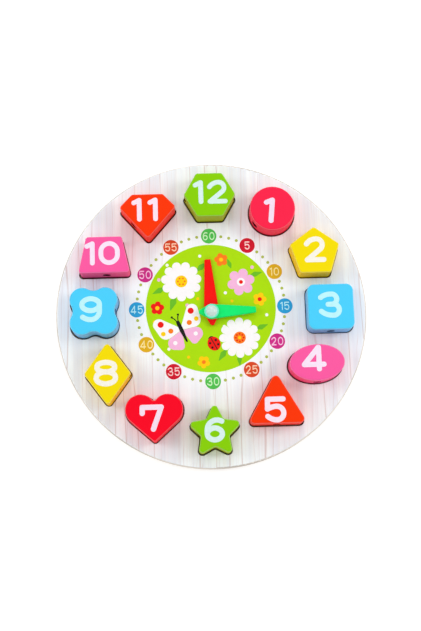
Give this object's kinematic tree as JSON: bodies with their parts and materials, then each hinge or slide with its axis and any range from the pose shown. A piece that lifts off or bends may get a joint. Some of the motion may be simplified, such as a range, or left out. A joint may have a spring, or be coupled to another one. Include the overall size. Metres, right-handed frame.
{
  "type": "teaching clock",
  "caption": "Round wooden teaching clock: a recessed board holds lift-out shaped number blocks drilled for a lace, and plastic hands turn on a central snap rivet.",
  "frame": {"origin": "centre of the board on the plane of its back face, where it rests", "axes": "+Z out of the dial, +Y towards 12 o'clock, +X towards 3 o'clock"},
  "size_m": [0.29, 0.29, 0.028],
  "materials": {
    "plain_wood": "bare sanded plywood",
    "printed_wood": "off-white print of pale grain on plywood, satin varnish",
    "paint_crimson": "satin water-based paint on solid wood",
    "paint_yellow": "satin water-based paint on solid wood",
    "paint_blue": "satin water-based paint on solid wood",
    "paint_pink": "satin water-based paint on solid wood",
    "paint_orange": "satin water-based paint on solid wood",
    "paint_green": "satin water-based paint on solid wood",
    "paint_red": "satin water-based paint on solid wood",
    "numeral_print": "white screen-print ink on the blocks",
    "dial_print": "printed inks on the dial under varnish",
    "hand_red": "glossy injection-moulded plastic",
    "hand_green": "glossy injection-moulded plastic",
    "clear_plastic": "translucent moulded plastic",
    "washer_plastic": "white moulded plastic",
    "spring_steel": "bright spring steel"
  },
  "bodies": {
    "board": {"back_panel": "plain_wood", "front_panel": "printed_wood", "rivet_socket": "clear_plastic", "rivet_cap": "clear_plastic", "base_washer": "washer_plastic", "hand_washer": "washer_plastic", "spring_washer": "spring_steel"},
    "minute_hand": {"minute_hand": "hand_red"},
    "hour_hand": {"hour_hand": "hand_green"},
    "block_1_circle": {"block_1_circle": "paint_crimson"},
    "block_2_pentagon": {"block_2_pentagon": "paint_yellow"},
    "block_3_square": {"block_3_square": "paint_blue"},
    "block_4_ellipse": {"block_4_ellipse": "paint_pink"},
    "block_5_triangle": {"block_5_triangle": "paint_orange"},
    "block_6_star": {"block_6_star": "paint_green"},
    "block_7_heart": {"block_7_heart": "paint_red"},
    "block_8_rhombus": {"block_8_rhombus": "paint_yellow"},
    "block_9_quatrefoil": {"block_9_quatrefoil": "paint_blue"},
    "block_10_trapezoid": {"block_10_trapezoid": "paint_pink"},
    "block_11_gem": {"block_11_gem": "paint_orange"},
    "block_12_hexagon": {"block_12_hexagon": "paint_green"}
  },
  "joints": [
    {"name": "minute_turn", "type": "hinge", "parent": "board", "child": "minute_hand", "pos_m": [0, 0, 0.011], "axis": [0, 0, 1], "continuous": true},
    {"name": "hour_turn", "type": "hinge", "parent": "board", "child": "hour_hand", "pos_m": [0, 0, 0.0136], "axis": [0, 0, 1], "continuous": true},
    {"name": "lift_1", "type": "slide", "parent": "board", "child": "block_1_circle", "axis": [0, 0, 1], "range_m": [0, 0.035]},
    {"name": "lift_2", "type": "slide", "parent": "board", "child": "block_2_pentagon", "axis": [0, 0, 1], "range_m": [0, 0.035]},
    {"name": "lift_3", "type": "slide", "parent": "board", "child": "block_3_square", "axis": [0, 0, 1], "range_m": [0, 0.035]},
    {"name": "lift_4", "type": "slide", "parent": "board", "child": "block_4_ellipse", "axis": [0, 0, 1], "range_m": [0, 0.035]},
    {"name": "lift_5", "type": "slide", "parent": "board", "child": "block_5_triangle", "axis": [0, 0, 1], "range_m": [0, 0.035]},
    {"name": "lift_6", "type": "slide", "parent": "board", "child": "block_6_star", "axis": [0, 0, 1], "range_m": [0, 0.035]},
    {"name": "lift_7", "type": "slide", "parent": "board", "child": "block_7_heart", "axis": [0, 0, 1], "range_m": [0, 0.035]},
    {"name": "lift_8", "type": "slide", "parent": "board", "child": "block_8_rhombus", "axis": [0, 0, 1], "range_m": [0, 0.035]},
    {"name": "lift_9", "type": "slide", "parent": "board", "child": "block_9_quatrefoil", "axis": [0, 0, 1], "range_m": [0, 0.035]},
    {"name": "lift_10", "type": "slide", "parent": "board", "child": "block_10_trapezoid", "axis": [0, 0, 1], "range_m": [0, 0.035]},
    {"name": "lift_11", "type": "slide", "parent": "board", "child": "block_11_gem", "axis": [0, 0, 1], "range_m": [0, 0.035]},
    {"name": "lift_12", "type": "slide", "parent": "board", "child": "block_12_hexagon", "axis": [0, 0, 1], "range_m": [0, 0.035]}
  ]
}
